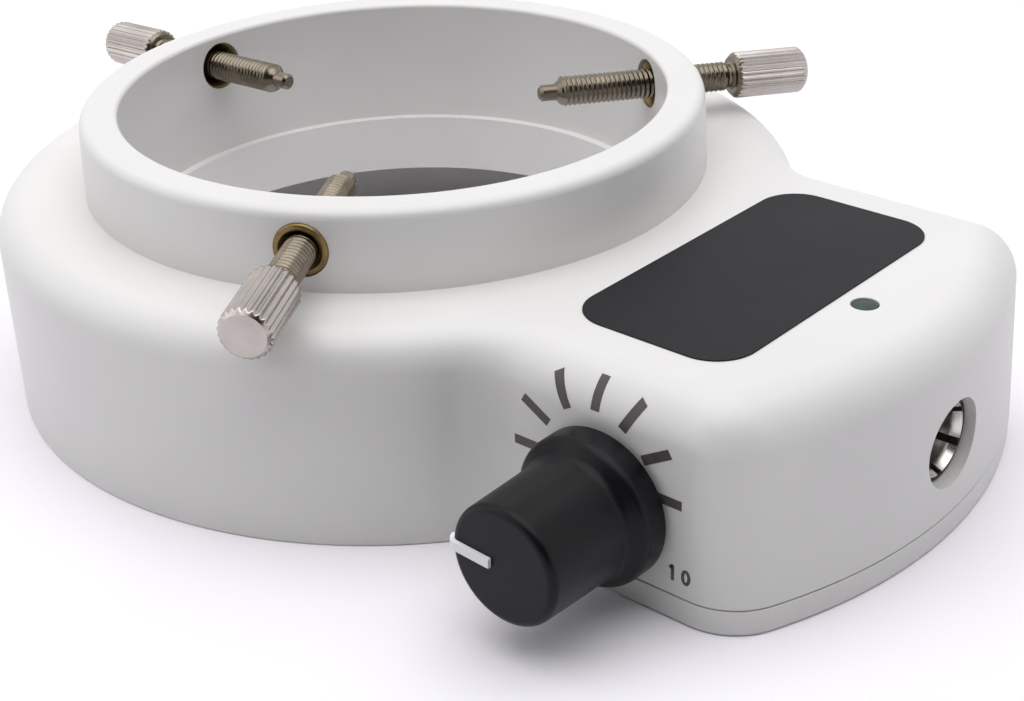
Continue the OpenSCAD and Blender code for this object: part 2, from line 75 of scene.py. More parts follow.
# Sizes that the solids already fix: ring, deck, rim, ledge and the places of what sits in them
boxEnd, ringR, rimZ = boxOf("upper_housing")[1]
deckZ = boxOf("label_plate")[0][2]
plateZ, ledgeZ = (corner[2] for corner in boxOf("lamp_plate"))
coverTop = topOf("base_cover")
knobLow, knobHigh = boxOf("knob")
knobX, knobZ = ((knobLow + knobHigh) / 2)[[0, 2]]
sleeveLow, sleeveHigh = boxOf("inlet_sleeve")
inletY, inletZ = ((sleeveLow + sleeveHigh) / 2)[1:]
lensLow, lensHigh = boxOf("indicator_lamp")
lensX = (lensLow[0] + lensHigh[0]) / 2
screwZ = sum(boxOf("thread_inserts"))[2] / 2
clampOut = {joint["child"]: -np.array(joint["axis"]) for joint in frame["joints"]
            if joint["name"].startswith("clamp")}
clampMidR = 33.2  # where the leaning screws cross the middle of the collar's wall
clampFrom = {body: np.array([*(clampMidR * out[:2] / np.hypot(*out[:2])), screwZ]) - clampMidR * out
             for body, out in clampOut.items()}
lampRimR = 1.7  # half the rim of a lamp


def rowRadius(node):  # radius of the circle that a row of lamps stands on
    return np.hypot(*pointsOf(nodes[node])[:, :2].T).max() - lampRimR


# Quads of a grid, by rows and columns: the columns close into rings, and the rows too where loop is set
def ringQuads(rows, columns, loop=False):
    i, j = np.meshgrid(np.arange(rows if loop else rows - 1), np.arange(columns), indexing="ij")
    below, beside = (i + 1) % rows, (j + 1) % columns
    corners = [i * columns + j, i * columns + beside, below * columns + beside, below * columns + j]
    return np.stack(corners, axis=-1).reshape(-1, 4)


# Mesh from points in millimetres: doubles merged, so that poles close, and faces turned outwards
def meshFrom(name, points, faces):
    mesh = bpy.data.meshes.new(name)
    mesh.from_pydata((np.asarray(points).reshape(-1, 3) * mm).tolist(), [], faces)
    work = bmesh.new()
    work.from_mesh(mesh)
    bmesh.ops.remove_doubles(work, verts=work.verts, dist=2e-7)
    bmesh.ops.recalc_face_normals(work, faces=work.faces)
    work.to_mesh(mesh)
    work.free()
    piece = bpy.data.objects.new(name, mesh)
    bpy.context.scene.collection.objects.link(piece)
    return piece


# A stack of closed rings as a solid: quads between the rings, and a flat face on the first and the last
def solidFrom(name, rings, loop=False):
    rows, columns = rings.shape[:2]
    faces = ringQuads(rows, columns, loop).tolist()
    if not loop:
        faces.append(list(range(columns)))
        faces.append(list(range((rows - 1) * columns, rows * columns)))
    return meshFrom(name, rings, faces)


# The same stack of rings set out many times, as one mesh: copies is copies x rows x columns x 3
def solidsFrom(name, copies, loop=False):
    count, rows, columns = copies.shape[:3]
    quads = ringQuads(rows, columns, loop)
    faces = (quads[None] + np.arange(count)[:, None, None] * rows * columns).reshape(-1, 4).tolist()
    if not loop:
        starts = np.arange(count) * rows * columns
        ends = starts + (rows - 1) * columns
        faces += (np.concatenate([starts, ends])[:, None] + np.arange(columns)).tolist()
    return meshFrom(name, copies, faces)


# Corners (x, y, rounding) joined by straight lines, with a tangent arc of that radius in each corner
def roundedPath(corners, steps=6):
    path = []
    for i, (x, y, radius) in enumerate(corners):
        here = np.array([x, y], float)
        if radius == 0:
            path.append(here[None])
            continue
        back = np.array(corners[i - 1][:2]) - here
        on = np.array(corners[(i + 1) % len(corners)][:2]) - here
        back, on = back / np.linalg.norm(back), on / np.linalg.norm(on)
        half = math.acos(np.clip(back @ on, -1, 1)) / 2
        middle = here + (back + on) / np.linalg.norm(back + on) * radius / math.sin(half)
        start = here + back * radius / math.tan(half) - middle
        end = here + on * radius / math.tan(half) - middle
        sweep = math.atan2(start[0] * end[1] - start[1] * end[0], start @ end)
        angles = math.atan2(start[1], start[0]) + np.linspace(0, 1, steps + 1) * sweep
        path.append(middle + radius * np.stack([np.cos(angles), np.sin(angles)], axis=1))
    return np.concatenate(path)


# Two directions square to an axis, so that side, lift and axis make a right-handed set
def sidesOf(axis):
    axis = np.asarray(axis, float) / np.linalg.norm(axis)
    lift = np.array([0, 0, 1.0]) if abs(axis[2]) < 0.9 else np.array([0, 1.0, 0])
    side = np.cross(lift, axis)
    side /= np.linalg.norm(side)
    return axis, side, np.cross(axis, side)


def anglesOf(columns):  # equal angles round a whole turn
    return np.arange(columns) * turn / columns


# An axis at length 1, and the directions round it, one for each column: cos * side + sin * lift
def spokes(axis, columns):
    axis, side, lift = sidesOf(axis)
    angle = anglesOf(columns)
    return axis, np.cos(angle)[:, None] * side + np.sin(angle)[:, None] * lift


# A profile of (radius, height) points carried round an axis: origin + height * axis + radius * direction
def turned(profile, origin=(0, 0, 0), axis=zAxis, columns=96):
    axis, around = spokes(axis, columns)
    radius, height = np.asarray(profile, float).T
    return np.asarray(origin, float) + height[:, None, None] * axis + radius[:, None, None] * around


# The same as a solid; loop closes a profile that runs right round, as a ring's does
def turnedSolid(name, profile, origin=(0, 0, 0), axis=zAxis, columns=96, loop=False):
    return solidFrom(name, turned(profile, origin, axis, columns), loop)


# A drum between two heights, for holes
def drum(radius, low, high):
    return [(0, low), (radius, low), (radius, high), (0, high)]


# Joins the forms to a piece or cuts them from it, one after another, and clears them away
def combine(piece, forms, how):
    for form in forms:
        step = piece.modifiers.new(form.name, "BOOLEAN")
        step.operation, step.solver, step.object = how, "EXACT", form
    bpy.context.view_layer.update()
    before = piece.data
    piece.data = bpy.data.meshes.new_from_object(piece.evaluated_get(bpy.context.evaluated_depsgraph_get()))
    piece.modifiers.clear()
    bpy.data.meshes.remove(before)
    for form in forms:
        mesh = form.data
        bpy.data.objects.remove(form)
        bpy.data.meshes.remove(mesh)


# Gives a piece its finish, the body it moves with and the nodes it stands for. Faces
# are smooth, with sharp edges past an angle, and large flat faces lead the shading where even is set.
def dress(piece, finish, slotName, body, *replaced, sharpAt=40, even=False):
    piece.data.shade_smooth()
    piece.data.set_sharp_from_angle(angle=math.radians(sharpAt))
    if even:
        step = piece.modifiers.new("even", "WEIGHTED_NORMAL")
        step.keep_sharp = True
    piece.data.materials.clear()
    piece.data.materials.append(finish)
    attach(piece, body)
    if replaced:
        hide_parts(*replaced)


# Adds one node: its properties by name, then inputs, by name or number, as plain values or sockets to link
def addNode(tree, kind, inputs=None, **settings):
    node = tree.nodes.new(kind)
    for name, value in settings.items():
        setattr(node, name, value)
    for name, value in (inputs or {}).items():
        if isinstance(value, bpy.types.NodeSocket):
            tree.links.new(value, node.inputs[name])
        else:
            node.inputs[name].default_value = value
    return node


def linear(hexColour):  # sRGB hex to linear colour
    srgb = np.array([int(hexColour[i:i + 2], 16) for i in (1, 3, 5)]) / 255
    flat = np.where(srgb <= 0.04045, srgb / 12.92, ((srgb + 0.055) / 1.055) ** 2.4)
    return (*flat.tolist(), 1.0)


def perMm(size):  # noise scale that gives features of a size in millimetres on Object coordinates
    return 1 / (size * mm)


driftSpan = (0.3, 0.7)  # the middle of a noise's range, over which tones and roughness change
darkFade = 0.2          # length over which a finish leaves its dark tones
reliefShare = 0.25      # height of the relief as a share of its grain


def toneRamp(tree, drift, tones):  # two near tones, spread over the middle of the drift's range
    ramp = addNode(tree, "ShaderNodeValToRGB", {"Fac": drift})
    for element, position, tone in zip(ramp.color_ramp.elements, driftSpan, tones):
        element.position, element.color = position, linear(tone)
    return ramp.outputs["Color"]


# A finish from its settings: two near tones that drift over the surface, roughness that drifts with them,
# and a fine relief; lines=True lays the relief round a turned piece, along its own "along" attribute, and
# dark gives other tones from the piece's tip to a distance along it
def makeFinish(name, look):
    material = bpy.data.materials.new(name)
    material.use_nodes = True
    tree = material.node_tree
    shader = tree.nodes["Principled BSDF"]
    for socket, value in look.get("shader", {}).items():
        shader.inputs[socket].default_value = value
    place = addNode(tree, "ShaderNodeTexCoord").outputs["Object"]
    drift = addNode(tree, "ShaderNodeTexNoise", {
        "Vector": place, "Scale": perMm(look["driftMm"]), "Detail": 4.0}).outputs["Fac"]
    colour = toneRamp(tree, drift, look["tones"])
    if look.get("dark"):
        along = addNode(tree, "ShaderNodeAttribute", attribute_name="along").outputs["Fac"]
        darkTo = look["dark"]["to"]
        past = addNode(tree, "ShaderNodeMapRange", {
            "Value": along, "From Min": darkTo, "From Max": darkTo + darkFade}).outputs["Result"]
        darkTone = toneRamp(tree, drift, look["dark"]["tones"])
        shift = addNode(tree, "ShaderNodeMix", {0: past, 6: darkTone, 7: colour}, data_type="RGBA")
        colour = shift.outputs[2]
    tree.links.new(colour, shader.inputs["Base Color"])
    low, high = look["rough"]
    rough = addNode(tree, "ShaderNodeMapRange", {
        "Value": drift, "From Min": driftSpan[0], "From Max": driftSpan[1], "To Min": low, "To Max": high})
    tree.links.new(rough.outputs["Result"], shader.inputs["Roughness"])
    if look.get("lines"):
        along = addNode(tree, "ShaderNodeAttribute", attribute_name="along").outputs["Fac"]
        grain = addNode(tree, "ShaderNodeTexNoise", {
            "W": along, "Scale": 1 / look["grainMm"], "Detail": 2.0}, noise_dimensions="1D")
    else:
        grain = addNode(tree, "ShaderNodeTexNoise", {
            "Vector": place, "Scale": perMm(look["grainMm"]), "Detail": 3.0})
    bump = addNode(tree, "ShaderNodeBump", {
        "Height": grain.outputs["Fac"], "Strength": look["relief"],
        "Distance": look["grainMm"] * mm * reliefShare})
    tree.links.new(bump.outputs["Normal"], shader.inputs["Normal"])
    return material


# Finishes
# White ABS, injection moulded in a lightly blasted tool: satin, with a soft highlight and hardly any grain.
# The grain is drawn at 0.5 mm, coarser than the tool's, so that it shows at all.
whiteAbs = makeFinish("moulded_white_abs", {
    "tones": ("#e4e3e0", "#e9e8e5"), "driftMm": 18, "rough": (0.34, 0.42), "grainMm": 0.5, "relief": 0.06,
    "shader": {"IOR": 1.54}})
# The lamp plate is the same plastic from a plainer tool, so duller; its tones are painted a little paler as
# painted light, standing in for the light that reaches its tube down the bore
plateAbs = makeFinish("moulded_plate_abs", {
    "tones": ("#eeedea", "#f3f2ef"), "driftMm": 14, "rough": (0.46, 0.56), "grainMm": 0.6, "relief": 0.08,
    "shader": {"IOR": 1.54}})
# Black ABS for the knob: satin grip, near black, with the faint bloom of handled plastic
knobAbs = makeFinish("satin_black_abs", {
    "tones": ("#0d0c10", "#131216"), "driftMm": 6, "rough": (0.3, 0.4), "grainMm": 0.4, "relief": 0.1,
    "shader": {"IOR": 1.54, "Specular IOR Level": 0.16}})
# White filled paint in the pointer: flat and clean
pointerPaint = makeFinish("filled_white_paint", {
    "tones": ("#f1f1f3", "#f8f8fa"), "driftMm": 1.2, "rough": (0.5, 0.65), "grainMm": 0.25, "relief": 0.15})
# Pad-printed ink of the dial: dark brown grey and dull
dialInk = makeFinish("pad_printed_ink", {
    "tones": ("#4a4443", "#5c5553"), "driftMm": 1.5, "rough": (0.5, 0.62), "grainMm": 0.3, "relief": 0.1})
# Polycarbonate film of the label: reverse-printed charcoal under a fine velvet top
labelFilm = makeFinish("velvet_polycarbonate_film", {
    "tones": ("#222125", "#27262a"), "driftMm": 8, "rough": (0.42, 0.5), "grainMm": 0.35, "relief": 0.14,
    "shader": {"IOR": 1.58, "Specular IOR Level": 0.09}})
# Nickel plate on turned steel: warm grey, with fine lines round the axis from the lathe. The thread, neck and
# the back of the head take darker, browner tones: partly oil that the thread holds, partly painted shade and
# painted dark reflection.
nickelPlate = makeFinish("nickel_plated_turned_steel", {
    "tones": ("#aea7a2", "#bdb6b1"), "driftMm": 3, "rough": (0.2, 0.28), "grainMm": 0.12, "relief": 0.2,
    "lines": True, "dark": {"tones": ("#6e665a", "#867d70"), "to": 24.75}, "shader": {"Metallic": 1.0}})
# Turned brass of the inserts: yellow metal, darker where it has tarnished
turnedBrass = makeFinish("turned_brass", {
    "tones": ("#6f5c38", "#8f7c55"), "driftMm": 1.6, "rough": (0.26, 0.4), "grainMm": 0.2, "relief": 0.15,
    "shader": {"Metallic": 1.0}})
# Zinc plate on rolled screws: bluish grey and a little cloudy
zincPlate = makeFinish("zinc_plated_steel", {
    "tones": ("#a9adb2", "#bfc3c7"), "driftMm": 1.4, "rough": (0.28, 0.42), "grainMm": 0.3, "relief": 0.12,
    "shader": {"Metallic": 1.0}})
# Nickel-plated contacts, barrel plated: pale, satin and slightly warm
contactPlate = makeFinish("barrel_plated_nickel_contact", {
    "tones": ("#d9d5d0", "#e6e3df"), "driftMm": 2, "rough": (0.24, 0.32), "grainMm": 0.25, "relief": 0.06,
    "shader": {"Metallic": 1.0}})
# Nickel-plated brass bushing, nut, washer and shaft of the control
controlMetal = makeFinish("nickel_plated_brass", {
    "tones": ("#b9b4aa", "#c8c4bb"), "driftMm": 2, "rough": (0.24, 0.36), "grainMm": 0.3, "relief": 0.1,
    "shader": {"Metallic": 1.0}})
# Black thermoplastic of the inlet block: matt, glass filled, so faintly streaked
inletPlastic = makeFinish("glass_filled_black_nylon", {
    "tones": ("#151516", "#1d1d1e"), "driftMm": 2.5, "rough": (0.5, 0.62), "grainMm": 0.3, "relief": 0.2})
# Glass-epoxy laminate with green solder mask: glossy, with the weave just showing through
boardLaminate = makeFinish("solder_masked_laminate", {
    "tones": ("#1d5a39", "#226642"), "driftMm": 5, "rough": (0.26, 0.36), "grainMm": 0.8, "relief": 0.12,
    "shader": {"IOR": 1.55}})
# Moulded epoxy of the chip: dull black with a sparkle of filler
chipResin = makeFinish("moulded_chip_epoxy", {
    "tones": ("#1a1a1b", "#232324"), "driftMm": 0.8, "rough": (0.55, 0.68), "grainMm": 0.2, "relief": 0.2})
# Sintered ferrite: grey black and stony
ferrite = makeFinish("sintered_ferrite", {
    "tones": ("#2a2b2d", "#38393b"), "driftMm": 1.0, "rough": (0.5, 0.66), "grainMm": 0.3, "relief": 0.3})
# Shrunk PVC sleeve of the capacitor: dark blue and glossy
capacitorSleeve = makeFinish("shrunk_blue_sleeve", {
    "tones": ("#1b2748", "#223056"), "driftMm": 2, "rough": (0.22, 0.32), "grainMm": 0.5, "relief": 0.08})
# PVC wire covering, red and black: soft and waxy
redCover = makeFinish("red_pvc_covering", {
    "tones": ("#8e1f1c", "#a32723"), "driftMm": 2, "rough": (0.38, 0.5), "grainMm": 0.3, "relief": 0.08})
blackCover = makeFinish("black_pvc_covering", {
    "tones": ("#161617", "#202021"), "driftMm": 2, "rough": (0.38, 0.5), "grainMm": 0.3, "relief": 0.08})
# Blue-grey moulded case of the control
controlResin = makeFinish("moulded_control_case", {
    "tones": ("#3b5571", "#445f7c"), "driftMm": 3, "rough": (0.42, 0.55), "grainMm": 0.35, "relief": 0.12})
# Cast epoxy of the indicator, unlit: deep grey green with a soft shine
indicatorLens = makeFinish("cast_green_epoxy", {
    "tones": ("#293a31", "#374c41"), "driftMm": 0.9, "rough": (0.2, 0.3), "grainMm": 0.3, "relief": 0.04,
    "shader": {"IOR": 1.54, "Specular IOR Level": 0.2}})
# Cast clear epoxy of the lamps: water clear with a smooth dome
clearEpoxy = makeFinish("cast_clear_epoxy", {
    "tones": ("#f2f1ea", "#faf9f4"), "driftMm": 1.2, "rough": (0.04, 0.09), "grainMm": 0.4, "relief": 0.03,
    "shader": {"IOR": 1.54, "Transmission Weight": 0.9}})
# Yellow phosphor in the silvered cup of each lamp
phosphorCup = makeFinish("phosphor_in_silvered_cup", {
    "tones": ("#d9c25a", "#e9dc9a"), "driftMm": 0.4, "rough": (0.4, 0.55), "grainMm": 0.2, "relief": 0.1})
print("finishes made:", len(bpy.data.materials))


# Housing: ring and box in one skin, collar, bore, lamp chamber and the box's hollow
shell = {
    "wall": 2.2,
    "boreR": 31.0,
    "boxHalf": 26.7,
    "endArcR": 55.2,
    "cornerR": 7.0,
    "blendR": 9.0,
    "ringShoulder": 3.9,   # rounding of the deck's edge on the ring, and on the box
    "boxShoulder": 4.7,
    "footRound": 0.25,
    "cornerLean": 2.6,     # degrees that the end's corners draw in upwards, from the seam to the deck
    "collarBaseR": 35.65,  # the collar narrows a little towards its rim
    "collarTopR": 35.3,
    "rimRound": 0.5,       # inner and outer edge of the rim
    "rimOuter": 1.1,
    "seam": 0.2,
    "underA": 0.9,         # room for the base cover: half its angle in radians, its gap to the ring's wall
    "underGap": 0.04,
    "underPast": 12,       # and how far it goes past the box's end
    "notchWide": 6.0,      # the wires' way into the box, from below them up to the roof
    "notchBelow": 3.5,
    "notchRoof": 0.2,
    "knobHole": (3.5, 20, 30),    # round holes: radius, and the span along the axis, past both faces
    "inletHole": (4.65, 66, 76),
    "insertHole": (2.9, 29, 38),
    "lensHoleR": 1.4,
    "lensBevel": 0.05,     # bevel of the lens's hole, and how far its cutter goes on above the deck
    "bevelPast": 0.02,
    "bossR": 2.5,
    "postR": 2.2,
    "hangR": 0.9,          # thin posts of the indicator's board, each so far from the lens
    "hangApart": 2.9,
    "pilotR": 1.1,
    "pilotDeep": 7.0,
    "pilotFrom": 1.5,      # thinner bosses have no pilot hole
    "bossInto": 0.3,
    "outlineSteps": (14, 24, 8, 20, 100),  # points along the end, corner, side, blend and half ring
    "skinSteps": (4, 7, 14),               # rings in the foot, the wall and the shoulder
    "hollowSteps": (40, 12, 24),           # points along the ring, a corner and the end
    "underSteps": (120, 12),
    "columns": 240,
}
endX = boxEnd - shell["endArcR"]
cornerY = shell["boxHalf"] - shell["cornerR"]
cornerX = endX + math.sqrt((shell["endArcR"] - shell["cornerR"]) ** 2 - cornerY ** 2)
cornerA = math.atan2(cornerY, cornerX - endX)
blendY = shell["boxHalf"] + shell["blendR"]
blendX = math.sqrt((ringR + shell["blendR"]) ** 2 - blendY ** 2)
blendA = math.atan2(blendY, blendX)
roofZ = deckZ - shell["wall"]
chamberR = ringR - shell["wall"]
over = 1.0  # how far cutters and joined forms pass a face


# An arc in plan: its points, and its normals that point away from the centre, or to it where side is -1
def planArc(centre, radius, fromA, toA, count, side=1, whole=False):
    angle = np.linspace(fromA, toA, count, endpoint=whole)
    out = np.stack([np.cos(angle), np.sin(angle)], axis=1)
    return np.asarray(centre, float) + radius * out, side * out


# Outline of ring and box in plan: bowed end, corner, straight side, hollow blend and ring, then mirrored.
# Also gives the outward normals, the share of the box in the edge's rounding, which fades along the blend,
# and the share of the corners' lean, which grows along the bowed end and fades round the corner.
def planOutline():
    endSteps, cornerSteps, sideSteps, blendSteps, ringSteps = shell["outlineSteps"]
    side = np.linspace((cornerX, shell["boxHalf"]), (blendX, shell["boxHalf"]), sideSteps, endpoint=False)
    runs = [
        planArc((endX, 0), shell["endArcR"], 0, cornerA, endSteps),
        planArc((cornerX, cornerY), shell["cornerR"], cornerA, quarter, cornerSteps),
        (side, np.tile((0.0, 1.0), (sideSteps, 1))),
        planArc((blendX, blendY), shell["blendR"], -quarter, blendA - math.pi, blendSteps, side=-1),
        planArc((0, 0), ringR, blendA, math.pi, ringSteps, whole=True),
    ]
    fades = [np.linspace(1, 0, count, endpoint=False) for count in (endSteps, cornerSteps, blendSteps)]
    endFade, cornerFade, blendFade = (fade * fade * (3 - 2 * fade) for fade in fades)
    share = np.concatenate([np.ones(endSteps + cornerSteps + sideSteps), blendFade, np.zeros(ringSteps)])
    lean = np.concatenate([1 - endFade, cornerFade, np.zeros(sideSteps + blendSteps + ringSteps)])
    points, normals = (np.concatenate(part) for part in zip(*runs))
    flip = np.array([1, -1])
    points, normals = (np.concatenate([part, part[-2:0:-1] * flip]) for part in (points, normals))
    share, lean = (np.concatenate([part, part[-2:0:-1]]) for part in (share, lean))
    return points, normals, share, lean


# Quarter round at the foot of a wall: how far each ring is drawn in, and its height
def lowerRound(radius, steps):
    angle = np.linspace(0, quarter, steps)[:, None]
    return radius * (1 - np.sin(angle)), radius * (1 - np.cos(angle))


# The same at the top of a wall, where the radius may change along the outline
def upperRound(radius, top, steps):
    angle = np.linspace(0, quarter, steps)[:, None]
    return radius * (1 - np.cos(angle)), top - radius * (1 - np.sin(angle))


# Rings that follow an outline, drawn in along its normals. Each run is insets and heights, by rows of one
# value or one for each point. Above the seam, lean is added to the inset for each millimetre of height.
def outlineRings(points, normals, runs, lean=0.0):
    across = np.zeros((1, len(points)))
    inset, z = (np.concatenate([rows + across for rows in part]) for part in zip(*runs))
    inset = inset + lean * np.maximum(z - coverTop, 0)
    plan = points[None] - inset[..., None] * normals[None]
    return np.concatenate([plan, z[..., None]], axis=-1)


# Outer skin: a small round at the foot, the wall, upright but for the lean of two corners above the seam,
# then a quarter round up to the deck
def outerSkin():
    points, normals, share, lean = planOutline()
    footSteps, wallSteps, shoulderSteps = shell["skinSteps"]
    foot = shell["footRound"]
    radius = shell["ringShoulder"] + (shell["boxShoulder"] - shell["ringShoulder"]) * share
    rise = np.linspace(0, 1, wallSteps + 2)[1:-1, None]
    runs = [
        lowerRound(foot, footSteps),
        (0 * rise, foot + rise * (deckZ - radius - foot)),
        upperRound(radius, deckZ, shoulderSteps),
    ]
    return outlineRings(points, normals, runs, lean * math.tan(math.radians(shell["cornerLean"])))


# A flat outline in plan carried straight up between two heights
def upright(name, plan, low, high):
    return solidFrom(name, np.stack([np.column_stack([plan, np.full(len(plan), z)]) for z in (low, high)]))


# The box's hollow in plan: the ring's wall, then the box's inner sides, corners and bowed end
def hollowPlan():
    ringSteps, cornerSteps, endSteps = shell["hollowSteps"]
    reach = math.asin((shell["boxHalf"] - shell["wall"]) / ringR)
    ring = planArc((0, 0), ringR, -reach, reach, ringSteps, whole=True)[0]
    corner = planArc((cornerX, cornerY), shell["cornerR"] - shell["wall"], quarter, cornerA, cornerSteps)[0]
    end = planArc((endX, 0), shell["endArcR"] - shell["wall"], cornerA, -cornerA, endSteps)[0]
    return np.concatenate([ring, corner, end, corner[::-1] * (1, -1)])


housing = solidFrom("housing_shell", outerSkin())
collarProfile = roundedPath([
    (0, roofZ - over, 0), (shell["collarBaseR"], roofZ - over, 0), (shell["collarBaseR"], deckZ, 0),
    (shell["collarTopR"], rimZ, shell["rimOuter"]), (0, rimZ, 0)])
combine(housing, [turnedSolid("collar", collarProfile, columns=shell["columns"])], "UNION")
boreR, rim = shell["boreR"], shell["rimRound"]
neckR = boreR + shell["wall"]
boreProfile = np.concatenate([
    [(0, -over), (chamberR, -over), (chamberR, roofZ), (neckR, roofZ), (neckR, ledgeZ), (boreR, ledgeZ)],
    roundedPath([(boreR, ledgeZ + over, 0), (boreR, rimZ, rim), (neckR, rimZ, 0)])[1:-1],
    [(boreR + rim, rimZ + over), (0, rimZ + over)]])
underA, (nearSteps, farSteps) = shell["underA"], shell["underSteps"]
underSector = np.concatenate([
    planArc((0, 0), ringR + shell["underGap"], -underA, underA, nearSteps, whole=True)[0],
    planArc((0, 0), boxEnd + shell["underPast"], underA, -underA, farSteps, whole=True)[0]])
notchIn, notchOut, notchY = chamberR - over, ringR + over, shell["notchWide"] / 2
notch = np.array([(notchIn, -notchY), (notchOut, -notchY), (notchOut, notchY), (notchIn, notchY)])
notchFrom = topOf("supply_wire_red") - shell["notchBelow"]
lensHoleR, bevelTop = shell["lensHoleR"], deckZ + shell["bevelPast"]
bevelR = lensHoleR + shell["lensBevel"] + shell["bevelPast"]
lensCut = [(0, roofZ - over), (lensHoleR, roofZ - over), (lensHoleR, deckZ - shell["lensBevel"]),
           (bevelR, bevelTop), (bevelR, deckZ + over), (0, deckZ + over)]
holes = [
    turnedSolid("bore_hollow", boreProfile, columns=shell["columns"]),
    upright("box_hollow", hollowPlan(), -over, roofZ),
    upright("under_box", underSector, -over, coverTop + shell["seam"]),
    upright("wire_notch", notch, notchFrom, roofZ - shell["notchRoof"]),
    turnedSolid("knob_hole", drum(*shell["knobHole"]), (knobX, 0, knobZ), knobAxis, 48),
    turnedSolid("inlet_hole", drum(*shell["inletHole"]), (0, inletY, inletZ), inletAxis, 72),
    turnedSolid("lens_hole", lensCut, (lensX, 0, 0), columns=48),
]
holes += [turnedSolid(body + "_hole", drum(*shell["insertHole"]), clampFrom[body], out, 64)
          for body, out in clampOut.items()]
combine(housing, holes, "DIFFERENCE")


# A boss under the roof, with a blind pilot hole in its lower end unless it is a thin post
def boss(name, x, y, radius, low):
    pilot, deep = (shell["pilotR"], shell["pilotDeep"]) if radius > shell["pilotFrom"] else (0, 0)
    top = roofZ + shell["bossInto"]
    profile = [(0, low + deep), (pilot, low + deep), (pilot, low), (radius, low), (radius, top), (0, top)]
    return turnedSolid(name, profile, (x, y, 0), columns=32)


# Tapping screws, which the bosses stand over: pan head with a cross recess, seat and plain shank
tap = {
    "headR": 2.1, "headHigh": 1.3, "sideShare": 0.55, "shankR": 1.1, "tipLong": 0.6, "tipShare": 0.6,
    "faceShare": 0.93, "crown": 0.4, "crownPower": 2.5,
    "recessLong": 1.1, "recessWide": 0.36, "recessDeep": 0.75, "recessTaper": 0.35,
    "endSoft": 0.15, "sideSoft": 0.1,
    "plateAt": (60, 180, 300),  # degrees round the ring, in the gaps of the outer row of lamps
    "columns": 48,
}
headR, shankR = tap["headR"], tap["shankR"]
coverLow, coverHigh = boxOf("cover_screws")
coverScrews = [(x, side * y) for side in (-1, 1)
               for x, y in ((coverHigh[0] - headR, cornerY), (coverLow[0] + headR, coverHigh[1] - headR))]
boardLow, boardHigh = boxOf("board_screws")
boardScrews = [(boardLow[0] + shankR, boardHigh[1] - shankR), (boardHigh[0] - shankR, boardLow[1] + shankR)]
outerRowR = rowRadius("lamps_outer")
plateScrews = [(outerRowR * math.cos(angle), outerRowR * math.sin(angle))
               for angle in np.radians(tap["plateAt"])]
bosses = [boss("cover_boss", x, y, shell["bossR"], coverTop) for x, y in coverScrews]
bosses += [boss("board_post", x, y, shell["postR"], topOf("control_board")) for x, y in boardScrews]
bosses += [boss("plate_boss", x, y, shell["postR"], topOf("lamp_board")) for x, y in plateScrews]
bosses += [boss("hang_post", lensX + side * shell["hangApart"], 0, shell["hangR"], topOf("indicator_board"))
           for side in (-1, 1)]
combine(housing, bosses, "UNION")
dress(housing, whiteAbs, "white_abs", "housing", "upper_housing", sharpAt=30, even=True)
print("housing:", len(housing.data.polygons), "faces")


# Base cover: the same outline below the seam, cut clear of the ring, with sinks for its screws
coverShape = {"edge": 0.45, "topEdge": 0.12, "ringGap": 0.15, "sinkR": 2.25, "sinkTop": 1.6, "holeR": 1.25}
points, normals = planOutline()[:2]
cover = solidFrom("base_cover_plate", outlineRings(points, normals, [
    lowerRound(coverShape["edge"], 5), upperRound(coverShape["topEdge"], coverTop, 4)]))
ringCut = drum(ringR + coverShape["ringGap"], -over, coverTop + over)
sinkR, sinkTop, holeR = (coverShape[key] for key in ("sinkR", "sinkTop", "holeR"))
sinkProfile = [(0, -over), (sinkR, -over), (sinkR, sinkTop), (holeR, sinkTop),
               (holeR, coverTop + over), (0, coverTop + over)]
sinks = [turnedSolid("cover_ring", ringCut, columns=shell["columns"])]
sinks += [turnedSolid("cover_sink", sinkProfile, (x, y, 0), columns=40) for x, y in coverScrews]
combine(cover, sinks, "DIFFERENCE")
dress(cover, whiteAbs, "white_abs", "housing", "base_cover", sharpAt=30, even=True)
print("cover:", len(cover.data.polygons), "faces")


# Thumb screws: dog point, cone, rolled thread, plain neck and straight-knurled head
screwShape = {
    "dogR": 0.95, "dogLong": 2.0, "dogBevel": 0.3, "coneLong": 0.8,
    "threadR": 1.75, "threadLong": 20.5, "pitch": 0.6, "threadDeep": 0.15, "runOut": 0.4,
    "neckR": 1.4, "neckLong": 1.1, "fillet": 0.25,
    "headR": 2.75, "headLong": 9.2, "bevel": 0.5, "knurls": 24, "knurlDeep": 0.24,
    "threadWave": (1.35, 0.15), "knurlWave": (1.5, 0.25),  # slope and drop of the clipped waves
    "fadeIn": (0.8, 0.9), "fadeOut": (0.2, 0.7),  # the thread's fades: start past its end, and length
    "columns": 192,
}


# A triangle wave of the phase, made steeper and clipped, so that it has flat crests and roots
def clippedWave(phase, slope, drop):
    return np.clip(slope * np.abs(2 * (phase % 1) - 1) - drop, 0, 1)


